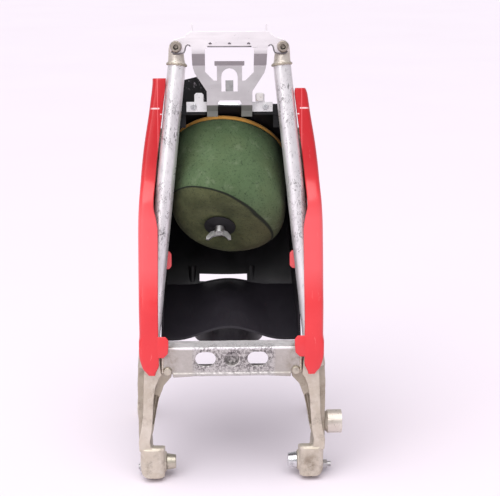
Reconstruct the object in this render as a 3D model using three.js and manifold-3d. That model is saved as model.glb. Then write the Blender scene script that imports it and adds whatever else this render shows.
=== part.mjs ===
// Rear subframe of an off-road motorcycle, with its airbox, foam filter and side panels.
// Millimetres, +Z up. It stands on its four frame mounts: two cast feet and two strut eyes.
import * as THREE from 'three';
import { mergeVertices } from 'three/addons/utils/BufferGeometryUtils.js';
import Module from 'manifold-3d';

const wasm = await Module();
wasm.setup();

// ---- driving dimensions ----
const GAP = 0.3;                 // clearance between pieces that touch
const LEAN_DEG = 10;             // upper rails lean back from vertical
const RAIL_BASE_Z = 195;         // height where the rail centre lines are measured from
const RAIL_R = 12.7;             // one-inch tube
const RAIL_WALL = 2;
const RAIL_BASE_X = 116.3;       // half the spread of the rails at their base
const RAIL_TAPER = 0.106;        // how fast the rails draw together
const RAIL_START = 2;
const RAIL_END = 404;

const LEG_BACK = 24;             // leg casting, front to back
const LEG_FRONT = -8;
const FLANGE_FRONT = -16.5;
const FOOT_Z = 7;                // underside of the cast foot, above the pad bolt's head
const FOOT_LIP_Z = 49;
const AXLE_Z = 24;               // height of the front mounting holes
const AXLE_Y = 3;
const MOUNT_HOLE_R = 5.2;        // clears an M10 bolt

const CROSS_HALF = 97.7;
const CROSS_LOW = 167;
const CROSS_TOP = 206.5;
const CROSS_FRONT = -15;
const CROSS_BACK = 15;
const CROSS_WALL = 4;
const CROSS_HOLES = 37;          // spacing of the lightening holes

const STRUT_W = 12;
const STRUT_D = 24;
const EYE = [144, 235, 12.5];
const EYE_R = 14;
const EYE_HALF_W = 8;

const TAIL_U = 428.5;             // tail bolts, measured along the rails
const TAIL_X = 74;
const EAR_BOTTOM = 419.4;

const BOX_FRONT_HALF = 101;      // airbox half width at its mouth and around the filter
const BOX_TOP_HALF = 93;
const BOX_WALL = 3;

const FILTER_BASE = [-1, 160, 454];
const FILTER_AXIS = [-0.1, -0.77, -0.63];
const FILTER_LENGTH = 139;
const FILTER_R = 87;
const FOAM = 12;
const FOAM_INNER_R = 72;
const FOAM_START = 12.3;
const FOAM_SHIFT = 0.1;          // the foam's skin leans less to one side than its bolt
const BOLT_R = 3;
const CAGE_END = 126.6;
const WING_TURN = 0.42;       // levels the wings

const PANEL_T = 2.2;
const PANEL_OUTER = [[-30, 117], [-22, 124], [0, 129.5], [87, 130.5], [173, 130], [244, 126],
  [286, 121.5], [350, 111.5], [386, 107.5]];
const PANEL_INNER = [[-30, 108], [-15, 102.5], [40, 103], [174, 102], [190, 104], [208, 107.5],
  [249, 104.5], [286, 100.5], [349, 92.5], [386, 88.5]];
const PANEL_FRONT = [[-30, -21], [60, -21], [100, -17.5], [208, -17.5], [250, -6], [386, -6]];
const PANEL_BACK = [[-30, -16], [0, -17.6], [16, -16.5], [30, 25], [200, 183], [230, 192], [286, 190],
  [320, 174], [355, 148], [386, 112]];
const PANEL_TOP = { left: 386, right: 372 };

// ---- helpers ----
const lean = THREE.MathUtils.degToRad(LEAN_DEG);
const railX = (u) => RAIL_BASE_X - RAIL_TAPER * u;
const vector = (p) => new THREE.Vector3(...p);
const leanMatrix = new THREE.Matrix4().makeRotationX(-lean).setPosition(0, 0, RAIL_BASE_Z);
const sideMatrix = new THREE.Matrix4().makeBasis(vector([0, 1, 0]), vector([0, 0, 1]), vector([1, 0, 0]));

function along(table, t) {
  const last = table.length - 1;
  if (t <= table[0][0]) return table[0][1];
  if (t >= table[last][0]) return table[last][1];
  const i = table.findIndex((row) => row[0] > t);
  const [t0, v0] = table[i - 1];
  const [t1, v1] = table[i];
  return v0 + ((v1 - v0) * (t - t0)) / (t1 - t0);
}

function outline(points, holes = []) {
  const shape = new THREE.Shape(points.map((p) => new THREE.Vector2(...p)));
  shape.holes = holes.map((hole) => new THREE.Path(hole.map((p) => new THREE.Vector2(...p))));
  return shape;
}

function mirrored(points) {
  return [...points, ...points.map(([x, y]) => [-x, y]).reverse()];
}

function arcPoints(cx, cy, r, from, to, count) {
  return Array.from({ length: count + 1 }, (_, i) => {
    const angle = THREE.MathUtils.degToRad(from + ((to - from) * i) / count);
    return [cx + r * Math.cos(angle), cy + r * Math.sin(angle)];
  });
}

function extruded(shape, depth, steps = 1) {
  return new THREE.ExtrudeGeometry(shape, { depth, steps, bevelEnabled: false, curveSegments: 6 });
}

// outline in x and z, from y0 back to y1
function frontPrism(shape, y0, y1) {
  return extruded(shape, y1 - y0).rotateX(Math.PI / 2).translate(0, y1, 0);
}

// outline in y and z, from x0 to x1
function sidePrism(shape, x0, x1, steps = 1) {
  return extruded(shape, x1 - x0, steps).applyMatrix4(sideMatrix).translate(x0, 0, 0);
}

function block([x0, x1], [y0, y1], [z0, z1]) {
  const box = new THREE.BoxGeometry(x1 - x0, y1 - y0, z1 - z0);
  return box.translate((x0 + x1) / 2, (y0 + y1) / 2, (z0 + z1) / 2);
}

function rod(from, to, r0, r1 = r0, sides = 20) {
  const run = vector(to).sub(vector(from));
  const turn = new THREE.Quaternion().setFromUnitVectors(vector([0, 1, 0]), run.clone().normalize());
  const body = new THREE.CylinderGeometry(r1, r0, run.length(), sides);
  return body.translate(0, run.length() / 2, 0).applyQuaternion(turn).translate(...from);
}

function lathe(profile, sides) {
  return new THREE.LatheGeometry(profile.map((p) => new THREE.Vector2(...p)), sides);
}

function ring(y0, y1, inner, outer, sides) {
  return lathe([[inner, y0], [outer, y0], [outer, y1], [inner, y1], [inner, y0]], sides);
}

function solid(geometry) {
  const bare = geometry.clone();
  bare.deleteAttribute('normal');
  bare.deleteAttribute('uv');
  const merged = mergeVertices(bare, 1e-4);
  const index = merged.index.array;
  const triangles = [];
  for (let i = 0; i < index.length; i += 3) {
    const [a, b, c] = [index[i], index[i + 1], index[i + 2]];
    if (a !== b && b !== c && a !== c) triangles.push(a, b, c);
  }
  const vertProperties = new Float32Array(merged.attributes.position.array);
  return new wasm.Manifold(new wasm.Mesh({ numProp: 3, vertProperties, triVerts: new Uint32Array(triangles) }));
}

function surface(body) {
  const mesh = body.getMesh();
  const geometry = new THREE.BufferGeometry();
  geometry.setAttribute('position', new THREE.BufferAttribute(new Float32Array(mesh.vertProperties), 3));
  geometry.setIndex(new THREE.BufferAttribute(new Uint32Array(mesh.triVerts), 1));
  return geometry;
}

const join = (...parts) => surface(parts.map(solid).reduce((a, b) => a.add(b)));
const cut = (base, ...tools) => surface(tools.map(solid).reduce((a, b) => a.subtract(b), solid(base)));
const meet = (a, b) => surface(solid(a).intersect(solid(b)));

function flipX(geometry) {
  const copy = geometry.index ? geometry.toNonIndexed() : geometry.clone();
  const position = copy.attributes.position;
  for (let i = 0; i < position.count; i += 3) {
    const second = vector([0, 0, 0]).fromBufferAttribute(position, i + 1);
    const third = vector([0, 0, 0]).fromBufferAttribute(position, i + 2);
    position.setXYZ(i + 1, third.x, third.y, third.z);
    position.setXYZ(i + 2, second.x, second.y, second.z);
  }
  copy.scale(-1, 1, 1);
  return copy;
}

// pushes every vertex of a geometry through a function of its place
function reshaped(geometry, move) {
  const position = geometry.attributes.position;
  for (let i = 0; i < position.count; i += 1) {
    position.setXYZ(i, ...move(position.getX(i), position.getY(i), position.getZ(i)));
  }
  return geometry;
}

// sweeps a closed section, whose corners move with the station, up through the stations
function loft(sectionAt, nominal, stations) {
  const template = sectionAt(nominal);
  const body = extruded(outline(template), stations.length - 1, stations.length - 1);
  return reshaped(body, (x, y, z) => {
    const k = template.findIndex(([a, b]) => Math.hypot(a - x, b - y) < 1e-3);
    const station = stations[Math.round(z)];
    const [px, py] = sectionAt(station)[k];
    return [px, py, station];
  });
}

// ---- materials ----
const finish = (color, roughness, metalness) => ({ color, roughness, metalness });
const TUBE = finish(0xbfc0c4, 0.38, 0.9);
const CAST = finish(0xb9b2a3, 0.5, 0.8);
const SHEET_METAL = finish(0xc9c8ca, 0.42, 0.85);
const STEEL = finish(0x8f8f90, 0.35, 0.95);
const BRASS = finish(0x9a7440, 0.4, 0.9);
const RED = finish(0xd0262b, 0.35, 0);
const BLACK = finish(0x17161a, 0.55, 0);
const RUBBER = finish(0x1b1a1c, 0.8, 0);
const FOAM_GREEN = finish(0x5f7d58, 0.95, 0);
const FOAM_ORANGE = finish(0xa8682a, 0.9, 0);

const root = new THREE.Group();
const leaned = new THREE.Group();
leaned.position.z = RAIL_BASE_Z;
leaned.rotation.x = -lean;
const filter = new THREE.Group();
filter.position.set(...FILTER_BASE);
filter.quaternion.setFromUnitVectors(vector([0, 1, 0]), vector(FILTER_AXIS).normalize());

function add(group, name, geometry, look) {
  const mesh = new THREE.Mesh(geometry, new THREE.MeshStandardMaterial(look));
  mesh.name = name;
  group.add(mesh);
}

function addPair(group, name, geometry, look) {
  add(group, `right_${name}`, geometry, look);
  add(group, `left_${name}`, flipX(geometry), look);
}

// ---- upper rails and tail castings ----
function upperRail() {
  const wall = new THREE.Shape().absarc(0, 0, RAIL_R, 0, 2 * Math.PI);
  wall.holes = [new THREE.Path().absarc(0, 0, RAIL_R - RAIL_WALL, 0, 2 * Math.PI, true)];
  const start = vector([railX(RAIL_START), 0, RAIL_START]);
  const end = vector([railX(RAIL_END), 0, RAIL_END]);
  const path = new THREE.LineCurve3(start, end);
  return new THREE.ExtrudeGeometry(wall, { steps: 1, curveSegments: 10, extrudePath: path });
}

const RAIL_TOOL = rod([railX(-4), 0, -4], [railX(RAIL_END), 0, RAIL_END], RAIL_R + GAP, RAIL_R + GAP, 20);

function tailBoss() {
  const low = RAIL_END + GAP;
  const neck = rod([railX(low), 0, low], [TAIL_X + 0.5, 0, TAIL_U], 12.2, 10);
  const collar = rod([railX(low), 0, low], [railX(low + 3.5), 0, low + 3.5], 13.4, 13.2);
  const lug = rod([TAIL_X, -8.7, TAIL_U], [TAIL_X, 11, TAIL_U], 9.5);
  const hole = rod([TAIL_X, -12, TAIL_U], [TAIL_X, 8, TAIL_U], 4.3, 4.3, 14);
  const railRoom = rod([railX(380), 0, 380], [railX(low), 0, low], RAIL_R + 2);
  const earRoom = block([50, 100], [-20, -8.7], [EAR_BOTTOM - 0.8, 450]);
  return cut(join(neck, collar, lug), hole, railRoom, earRoom);
}

function tailBolt() {
  const head = rod([TAIL_X, -11.8, TAIL_U], [TAIL_X, -18, TAIL_U], 8.5, 7, 24);
  const shank = rod([TAIL_X, -12, TAIL_U], [TAIL_X, 6, TAIL_U], 4, 4, 14);
  const socket = rod([TAIL_X, -19, TAIL_U], [TAIL_X, -14, TAIL_U], 3, 3, 6);
  return cut(join(head, shank), socket);
}

// ---- front leg castings ----
const LEG_OUTLINE = [[116.5, 49.5], [134, 49.5], [134.5, 62], [134.5, 150], [133, 178], [127, 206], [98, 206],
  [98, 166.4], [86, 166.4], [86, 160], [97, 147], [104, 128], [108, 110], [111, 92], [113, 79],
  [117.5, 63], [116.5, 55]];
const FLANGE_OUTLINE = [[98, 49], [134, 49], [134.5, 64], [130, 85], [127, 110], [125.5, 150], [123, 186],
  [103, 196], [100, 166], [104, 160], [108.5, 148], [111.5, 130], [113.5, 100], [115.5, 79],
  [118.5, 63], [117, 54], [98, 53]];
const POCKET_OUTLINE = [[115.5, 68], [114.4, 95], [112.5, 115], [110, 134], [104.5, 130], [107.5, 118],
  [110.5, 100], [113.2, 84]];

function foot() {
  const corner = arcPoints(121, FOOT_Z + 12, 12, -90, 0, 4);
  const front = outline([[98, FOOT_Z], ...corner, [133, FOOT_LIP_Z + 2], [98, FOOT_LIP_Z + 2]]);
  const plan = outline([...arcPoints(122, -8, 11, -90, 0, 4), ...arcPoints(122, 13, 11, 0, 90, 4),
    ...arcPoints(108, 13, 11, 90, 180, 4), ...arcPoints(108, -8, 11, 180, 270, 4)]);
  const shoulder = sidePrism(outline([[-9, 50.5], [30, 38.5], [30, 60], [-9, 60]]), 80, 116);
  return cut(meet(frontPrism(front, -20, LEG_BACK), extruded(plan, FOOT_LIP_Z + 2)), shoulder);
}

function legCasting() {
  const leg = frontPrism(outline(LEG_OUTLINE), LEG_FRONT, LEG_BACK);
  const flange = frontPrism(outline(FLANGE_OUTLINE), FLANGE_FRONT, LEG_FRONT + 1);
  const boss = rod([104, AXLE_Y, AXLE_Z], [95.3, AXLE_Y, AXLE_Z], 15, 14.5, 24);
  const socket = rod([railX(-22), 0, -22], [railX(11), 0, 11], 15.4, 15.4).applyMatrix4(leanMatrix);
  const pocket = frontPrism(outline(POCKET_OUTLINE), LEG_FRONT - 2, LEG_FRONT + 7);
  const backPocket = frontPrism(outline(POCKET_OUTLINE), LEG_BACK - 8, LEG_BACK + 2);
  const axle = rod([140, AXLE_Y, AXLE_Z], [90, AXLE_Y, AXLE_Z], MOUNT_HOLE_R, MOUNT_HOLE_R, 16);
  const padHole = rod([116, AXLE_Y, 0], [116, AXLE_Y, 17], 4.4, 4.4, 12);
  const sideHole = rod([124, AXLE_Y + 9, 12], [140, AXLE_Y + 9, 12], 4.4, 4.4, 12);
  const rail = RAIL_TOOL.clone().applyMatrix4(leanMatrix);
  return cut(join(leg, flange, foot(), boss, socket), pocket, backPocket, axle, padHole, sideHole, rail);
}

function mountCollar() {
  const sleeve = rod([95, AXLE_Y, AXLE_Z], [82, AXLE_Y, AXLE_Z], 12, 10, 24);
  return cut(sleeve, rod([99, AXLE_Y, AXLE_Z], [80, AXLE_Y, AXLE_Z], MOUNT_HOLE_R, MOUNT_HOLE_R, 16));
}

function padBolt() {
  const head = rod([116, AXLE_Y, 0], [116, AXLE_Y, FOOT_Z - GAP], 9, 8.4, 6);
  return join(head, rod([116, AXLE_Y, 3], [116, AXLE_Y, 16], 4, 4, 12));
}

function sideBolt(length) {
  const y = AXLE_Y + 9;
  const head = rod([133.3, y, 12], [133.3 + length * 0.55, y, 12], 7, 7, 6);
  return join(head, rod([126, y, 12], [133.3 + length, y, 12], 4, 4, 12));
}

// ---- cross-member ----
function roundedSlot(cx, cz, halfLength, r) {
  const run = halfLength - r;
  return outline([...arcPoints(cx + run, cz, r, -90, 90, 6), ...arcPoints(cx - run, cz, r, 90, 270, 6)]);
}

function crossMember() {
  const inner = CROSS_FRONT + CROSS_WALL;
  const channel = sidePrism(outline([[CROSS_FRONT, CROSS_LOW], [CROSS_BACK, CROSS_LOW],
    [CROSS_BACK, CROSS_LOW + CROSS_WALL], [inner, CROSS_LOW + CROSS_WALL],
    [inner, CROSS_TOP - CROSS_WALL], [CROSS_BACK, CROSS_TOP - CROSS_WALL],
    [CROSS_BACK, CROSS_TOP], [CROSS_FRONT, CROSS_TOP]]), -CROSS_HALF, CROSS_HALF);
  const lip = frontPrism(outline([[84, 168], [-84, 168], [-84, 162], [-50, 164], [50, 164], [84, 162]]), CROSS_FRONT - 2, CROSS_FRONT + 6);
  const cup = rod([0, inner - 1, 189], [0, 0, 189], 13.5);
  const dimple = rod([0, CROSS_FRONT - 3, 189], [0, -3, 189], 10.2, 10.2, 24);
  const holes = [-CROSS_HOLES, CROSS_HOLES].map((x) => frontPrism(roundedSlot(x, 189, 14.8, 10.2), -20, -8));
  const screws = [-91, 91].map((x) => rod([x, -20, 172], [x, -8, 172], 3.4, 3.4, 12));
  return cut(join(channel, lip, cup), dimple, ...holes, ...screws);
}

function crossBolt() {
  const head = rod([91, CROSS_FRONT - GAP, 172], [91, CROSS_FRONT - 4.5, 172], 6.4, 5.4);
  return join(head, rod([91, CROSS_FRONT - 1, 172], [91, -8.5, 172], 3, 3, 12));
}

function exhaustBoss() {
  const y = 6;
  const neck = rod([134.9, y, 83], [140, y, 83], 13, 17, 24);
  const barrel = rod([139, y, 83], [159.5, y, 83], 17, 17, 28);
  return cut(join(neck, barrel), rod([142, y, 83], [162, y, 83], MOUNT_HOLE_R, MOUNT_HOLE_R, 16));
}

// ---- lower struts ----
const STRUT_PATH = [[98.5, 62, 500], [103, 76, 466], [106, 94, 412], [114, 130, 315], [126, 160, 230],
  [138, 190, 140], [143, 218, 60], [144, 235, 12.5]];

function lowerStrut() {
  const [w, d, c] = [STRUT_W / 2, STRUT_D / 2, 4];
  const section = outline([[w - c, -d], [w, c - d], [w, d - c], [w - c, d], [c - w, d], [-w, d - c],
    [-w, c - d], [c - w, -d]]);
  const path = new THREE.CatmullRomCurve3(STRUT_PATH.map(vector));
  const bar = new THREE.ExtrudeGeometry(section, { steps: 16, extrudePath: path });
  const eyeRoom = rod([EYE[0] - 20, EYE[1], EYE[2]], [EYE[0] + 20, EYE[1], EYE[2]], EYE_R + GAP, EYE_R + GAP, 24);
  const floorRoom = block([100, 200], [200, 280], [-30, 3]);
  const rail = RAIL_TOOL.clone().applyMatrix4(leanMatrix);
  const pieces = solid(cut(bar, eyeRoom, floorRoom, rail)).decompose();
  return surface(pieces.sort((a, b) => b.volume() - a.volume())[0]);
}

function strutEye() {
  const [x, y, z] = EYE;
  const barrel = rod([x - EYE_HALF_W, y, z], [x + EYE_HALF_W, y, z], EYE_R, EYE_R, 24);
  const hole = rod([x - 20, y, z], [x + 20, y, z], MOUNT_HOLE_R, MOUNT_HOLE_R, 16);
  return cut(barrel, hole, block([x - 20, x + 20], [y - 20, y + 20], [-20, 0]));
}

// ---- tail bracket, in the leaned frame ----
const BRACKET_HALF = [[0, 355.6], [14, 355.6], [16.5, 352], [16.5, 333], [31.7, 333], [32, 368], [48.5, 393],
  [50.8, 400], [51.8, 405], [52.4, 421], [53, 427], [55, 430.5], [58, 431.5], [60.6, 429], [61.5, 423],
  [65, EAR_BOTTOM], [77, EAR_BOTTOM], [82, 424], [82, 433], [77, 438], [63, 442], [54, 449.5], [0, 449.5]];
const WINDOW_HALF = [[0, 409.5], [20.9, 409.5], [20.9, 404], [17.6, 402.6], [17.6, 383], [22, 383],
  [34, 395], [34, 424.5], [31, 428.5], [0, 428.5]];

function foldedSheet() {
  const front = [[8, 333], [8, 341], [1, 349], [1, 403], [-11.5, 419], [-11.5, 450]];
  const back = [[-9, 450], [-9, 419], [3.5, 404], [3.5, 350], [10.5, 342], [10.5, 333]];
  return sidePrism(outline([...front, ...back]), -90, 90);
}

function tailBracket() {
  const plate = frontPrism(outline(mirrored(BRACKET_HALF), [mirrored(WINDOW_HALF)]), -30, 30);
  const prongs = [-1, 1].map((s) => block([s * 51.8 - 0.7, s * 51.8 + 0.7], [-11, 9], [440, 460]));
  const slot = outline([[-11.4, 368], [11.4, 368], ...arcPoints(0, 388.6, 11.4, 0, 180, 8)]);
  const holes = [-TAIL_X, TAIL_X].map((x) => rod([x, -20, TAIL_U], [x, 0, TAIL_U], 4.6, 4.6, 14));
  return cut(join(meet(foldedSheet(), plate), ...prongs), frontPrism(slot, -10, 10), ...holes);
}

function seatCatch() {
  const foot = block([-9, 9], [3.8, 6.3], [358, 368]);
  return join(foot, block([-6, 6], [3.8, 14], [364, 367]), block([-5.5, 5.5], [11.5, 14], [364, 384]));
}

function clipPlate() {
  const bar = block([32.1, 61], [13.7, 16.2], [340, 354]);
  const stub = frontPrism(outline([[36.6, 353], [49.6, 353], [49.6, 364], [47, 366.5], [39, 366.5],
    [36.6, 364]]), 13.7, 16.2);
  return cut(join(bar, stub), rod([50.7, 10, 346.7], [50.7, 20, 346.7], 2.9, 2.9, 12));
}

function clipScrew() {
  const head = rod([50.7, 13.4, 346.7], [50.7, 11, 346.7], 4.6, 3.6, 18);
  const slot = block([50, 51.4], [10, 12.2], [342, 351]);
  return cut(join(head, rod([50.7, 13, 346.7], [50.7, 21, 346.7], 2.5, 2.5, 12)), slot);
}

// ---- airbox ----
const FLOOR = [[25, 206], [60, 216], [100, 230], [130, 242], [150, 250]];
const HUMP = [[25, 18.5], [60, 22], [110, 24], [150, 8]];
const HUMP_HALF = [[25, 80], [60, 74], [110, 62], [150, 60]];
const BACK_LOW = [224, 378];
const BACK_TOP = [97, 531];
const BACK_SKEW = -FILTER_AXIS[0] / FILTER_AXIS[1];   // squares the back wall to the filter

const BOX_PROFILE = [...FLOOR.map(([y, z]) => [y, z - BOX_WALL]), [154, 249], [227.4, 376.6],
  [99.6, 533.4], [82, 533.4], [54, 378]];

const boxHalf = (z) => along([[211, BOX_FRONT_HALF], [378, BOX_TOP_HALF]], z);

function humpRise(x, y) {
  const share = Math.min(1, Math.abs(x + 3) / along(HUMP_HALF, y));
  return along(HUMP, y) * Math.cos((share * Math.PI) / 2) ** 2;
}

// side view of the box, extruded across and drawn in to follow the rails; the floor rises in the middle
function boxBody(sideInset, profile) {
  const slices = sidePrism(outline(profile), -1, 1, 24);
  return reshaped(slices, (t, y, z) => {
    const x = t * (boxHalf(z) - sideInset);
    if (z > 300) return [x, y > 90 ? y + BACK_SKEW * x : y, z];
    return [x, y, y > 20 ? z + humpRise(x, y) : z];
  });
}

function airboxBody() {
  const outer = boxBody(0, BOX_PROFILE);
  const inner = boxBody(BOX_WALL, [[-30, 206], ...FLOOR, BACK_LOW, BACK_TOP, [95, 560], [-30, 560]]);
  const filterMatrix = new THREE.Matrix4().compose(vector(FILTER_BASE), filter.quaternion, vector([1, 1, 1]));
  const outlet = rod([0, -20, 0], [0, 20, 0], 55, 55, 32).applyMatrix4(filterMatrix);
  const window = block([-46, 27], [151, 185], [253.5, 264.5]);
  const ribs = [-57, 34].map((x) => rod([x, 157, 251], [x, 166, 274], 6.5, 6.5, 14));
  const lips = [-1, 1].map((s) => block([Math.min(s * 34, s * 70), Math.max(s * 34, s * 70)],
    [16.6, 24], [336, 351]).applyMatrix4(leanMatrix));
  const webs = [-1, 1].map((s) => block([Math.min(s * 62, s * 91), Math.max(s * 62, s * 91)],
    [20.5, 24], [318, 351]).applyMatrix4(leanMatrix));
  const screws = [-1, 1].map((s) => rod([s * 50.7, 10, 346.7], [s * 50.7, 23, 346.7], 2.9, 2.9, 12)
    .applyMatrix4(leanMatrix));
  return cut(join(cut(outer, inner), ...ribs, ...lips, ...webs), outlet, window, ...screws);
}

// round collar that hangs under the floor's hump
function floorCollar() {
  const wall = extruded(outline(arcPoints(-3, 86, 51, 0, 348, 29), [arcPoints(-3, 86, 47.5, 0, 348, 29)]), 70);
  return cut(wall.translate(0, 0, 190), boxBody(-GAP, BOX_PROFILE).translate(0, 0, -GAP));
}

// ---- filter, along its own axis from the base to the closed end ----
function filterFoam() {
  const [end, r] = [FILTER_LENGTH, FILTER_R];
  const round = lathe([[FOAM_INNER_R, FOAM_START], [r, FOAM_START], [r - 0.3, 45], [r - 1, 80], [r - 3, 108],
    [r - 7, 121], [r - 14, 131], [r - 23, 136.5], [r - 33, end], [4.5, end], [4.5, end - FOAM],
    [60, end - FOAM], [FOAM_INNER_R, FOAM_START]], 40);
  const across = vector([1, 0, 0]).applyQuaternion(filter.quaternion.clone().invert()).setY(0);
  return reshaped(round, (x, y, z) => {
    const radius = Math.hypot(x, z);
    if (radius < FOAM_INNER_R + 0.5 && y < end - FOAM + 0.5) return [x, y, z];
    const share = Math.min(1, Math.max(0, (radius - 10) / 50));
    const shift = FOAM_SHIFT * (y - FOAM_START) * share;
    return [x + across.x * shift, y, z + across.z * shift];
  });
}

function filterCage() {
  const shell = lathe([[60, 0.4], [81, 0.4], [81, 3], [71.6, 3], [59.4, CAGE_END], [4.5, CAGE_END], [4.5, CAGE_END - 2.6],
    [57.4, CAGE_END - 2.6], [69, 3], [60, 3], [60, 0.4]], 32);
  const windows = [0, 45, 90, 135].flatMap((angle) => [[12, 58], [65, 115]].map(([low, high]) =>
    block([-90, 90], [low, high], [-16, 16]).rotateY(THREE.MathUtils.degToRad(angle))));
  return cut(shell, ...windows);
}

function filterSpider() {
  const bar = block([-66.5, 66.5], [3.4, 8.4], [-7, 7]);
  return cut(join(bar, rod([0, 3.4, 0], [0, 26, 0], 8)), rod([0, 0, 0], [0, 30, 0], 3.3, 3.3, 14));
}

function wingBolt() {
  const top = FILTER_LENGTH + 4.3;
  const hub = rod([0, top, 0], [0, top + 9, 0], 7.5, 6, 20);
  const wing = [[4, top + 4], [12, top + 7], [17.5, top + 15], [18, top + 20], [14, top + 20.5], [9, top + 15],
    [4, top + 13], [0, top + 12.5]];
  const blade = extruded(outline(mirrored([[0, top + 3], ...wing])), 3).translate(0, 0, -1.5)
    .rotateY(WING_TURN);
  return join(hub, rod([0, 8, 0], [0, top + 1, 0], BOLT_R, BOLT_R, 14), blade);
}

function retainerWasher() {
  const low = FILTER_LENGTH + GAP;
  return lathe([[3.8, low], [22.5, low], [22.5, low + 1.6], [14, low + 3.2], [3.8, low + 3.6], [3.8, low]], 32);
}

function intakeBoot() {
  return lathe([[54, -48], [58, -48], [58, -36], [56, -33], [60, -24], [56, -16], [66, -10], [66, -4.3],
    [52, -4.3], [52, -16], [54, -48]], 32);
}

function bootClamp() {
  const band = ring(-46, -38, 58.3, 59.8, 32);
  return join(band, rod([-10, -42, 63], [12, -42, 63], 4, 4, 14), block([-4, 4], [-46, -38], [59, 63]));
}

// ---- side panels, in the leaned frame ----
function panelSection(u) {
  const inner = along(PANEL_INNER, u);
  const outer = along(PANEL_OUTER, u);
  const front = along(PANEL_FRONT, u);
  const depth = along(PANEL_BACK, u) - front;
  const corner = Math.min(2.5, 0.2 * depth);
  const side = Math.min(9, 0.45 * depth);
  const skin = [[inner, front + 3.3], [inner + 1.5, front], [outer - 7, front], [outer - 1.5, front + corner],
    [outer, front + side], [outer + 0.8, front + 0.6 * depth], [outer, front + depth]];
  const [t, back] = [PANEL_T, front + depth];
  const lining = [[outer - t, back], [outer + 0.8 - t, front + 0.6 * depth], [outer - t, front + side + 0.3],
    [outer - 3.4, front + corner + 2], [outer - 7.6, front + t], [inner + 3, front + t], [inner + t, front + 3.3]];
  return [...skin, ...lining];
}

function sidePanel(top) {
  const knots = [...PANEL_OUTER, ...PANEL_INNER, ...PANEL_FRONT, ...PANEL_BACK].map(([u]) => u);
  const stations = [...new Set([...knots, 120, 145, 318])].filter((u) => u < top).sort((a, b) => a - b);
  const shell = loft(panelSection, 200, [...stations, top]);
  const ear = frontPrism(outline([[89.5, 4], [95, 0], [104.5, -2.5], [104.5, 29.5], [89, 26], [89, 12]]), -20.8, -18.4);
  const tongue = block([84.5, 129], [14, 19.5], [117, 143]);
  const room = block([128.9, 140], [-40, 60], [100, 160]);
  return join(shell, ear, cut(tongue, room));
}

// ---- assembly ----
addPair(leaned, 'upper_rail', upperRail(), TUBE);
addPair(leaned, 'tail_boss', tailBoss(), CAST);
addPair(leaned, 'tail_bolt', tailBolt(), STEEL);
addPair(root, 'leg_casting', legCasting(), CAST);
addPair(root, 'mount_collar', mountCollar(), STEEL);
addPair(root, 'foot_pad_bolt', padBolt(), STEEL);
add(root, 'right_foot_side_bolt', sideBolt(13), STEEL);
add(root, 'left_foot_side_bolt', flipX(sideBolt(4)), STEEL);
add(root, 'cross_member', crossMember(), CAST);
addPair(root, 'cross_bolt', crossBolt(), STEEL);
add(root, 'exhaust_mount_boss', exhaustBoss(), CAST);
addPair(root, 'lower_strut', lowerStrut(), TUBE);
addPair(root, 'strut_eye', strutEye(), CAST);
add(leaned, 'tail_bracket', tailBracket(), SHEET_METAL);
add(leaned, 'seat_catch', seatCatch(), STEEL);
addPair(leaned, 'clip_plate', clipPlate(), SHEET_METAL);
addPair(leaned, 'clip_screw', clipScrew(), STEEL);
add(leaned, 'clip_nut', block([37.5, 47.5], [9.6, 13.4], [355, 365.5]), BRASS);
add(root, 'airbox_body', airboxBody(), BLACK);
add(root, 'floor_collar', floorCollar(), BLACK);
add(leaned, 'splash_flap', frontPrism(outline([[-68, 350], [-30, 353], [-28, 372], [-37, 394], [-70, 386]]), 54, 56),
  BLACK);
add(filter, 'intake_boot', intakeBoot(), RUBBER);
add(filter, 'boot_clamp', bootClamp(), STEEL);
add(filter, 'filter_cage', filterCage(), BLACK);
add(filter, 'filter_spider', filterSpider(), STEEL);
add(filter, 'filter_rim', ring(3.3, 12, 72.3, 87.5, 40), FOAM_ORANGE);
add(filter, 'filter_foam', filterFoam(), FOAM_GREEN);
add(filter, 'retainer_washer', retainerWasher(), RUBBER);
add(filter, 'wing_bolt', wingBolt(), STEEL);
add(leaned, 'right_side_panel', sidePanel(PANEL_TOP.right), RED);
add(leaned, 'left_side_panel', flipX(sidePanel(PANEL_TOP.left)), RED);

root.add(leaned, filter);
root.updateMatrixWorld(true);
const box = new THREE.Box3().setFromObject(root, true);
root.position.set(-(box.min.x + box.max.x) / 2, -(box.min.y + box.max.y) / 2, -box.min.z);
root.updateMatrixWorld(true);

export default root;
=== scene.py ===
import math

import bmesh
import bpy
from mathutils import Matrix, Vector, noise


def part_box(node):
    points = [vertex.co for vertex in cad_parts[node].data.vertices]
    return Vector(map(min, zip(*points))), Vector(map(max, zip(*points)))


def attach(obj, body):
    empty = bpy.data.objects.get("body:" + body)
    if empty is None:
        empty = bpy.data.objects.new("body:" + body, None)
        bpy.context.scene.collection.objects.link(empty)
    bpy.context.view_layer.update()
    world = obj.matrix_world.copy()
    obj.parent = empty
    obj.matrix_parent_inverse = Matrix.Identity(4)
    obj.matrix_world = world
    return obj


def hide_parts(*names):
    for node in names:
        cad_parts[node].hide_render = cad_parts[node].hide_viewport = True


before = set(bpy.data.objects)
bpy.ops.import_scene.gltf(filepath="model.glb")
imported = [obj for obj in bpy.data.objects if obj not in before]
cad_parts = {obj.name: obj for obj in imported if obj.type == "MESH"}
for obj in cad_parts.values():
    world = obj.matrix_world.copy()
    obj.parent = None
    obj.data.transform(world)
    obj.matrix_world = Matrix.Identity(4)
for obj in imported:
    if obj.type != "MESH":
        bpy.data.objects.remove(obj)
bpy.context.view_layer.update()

# ---- driving dimensions, in millimetres, in the CAD source's own frame ----
MM = 0.001
LEAN = math.radians(10)
RAIL_BASE_Z = 195
RAIL_R = 12.7
RAIL_WALL = 2
RAIL_BASE_X = 116.3
RAIL_TAPER = 0.106
RAIL_START = 2
RAIL_END = 404
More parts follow.
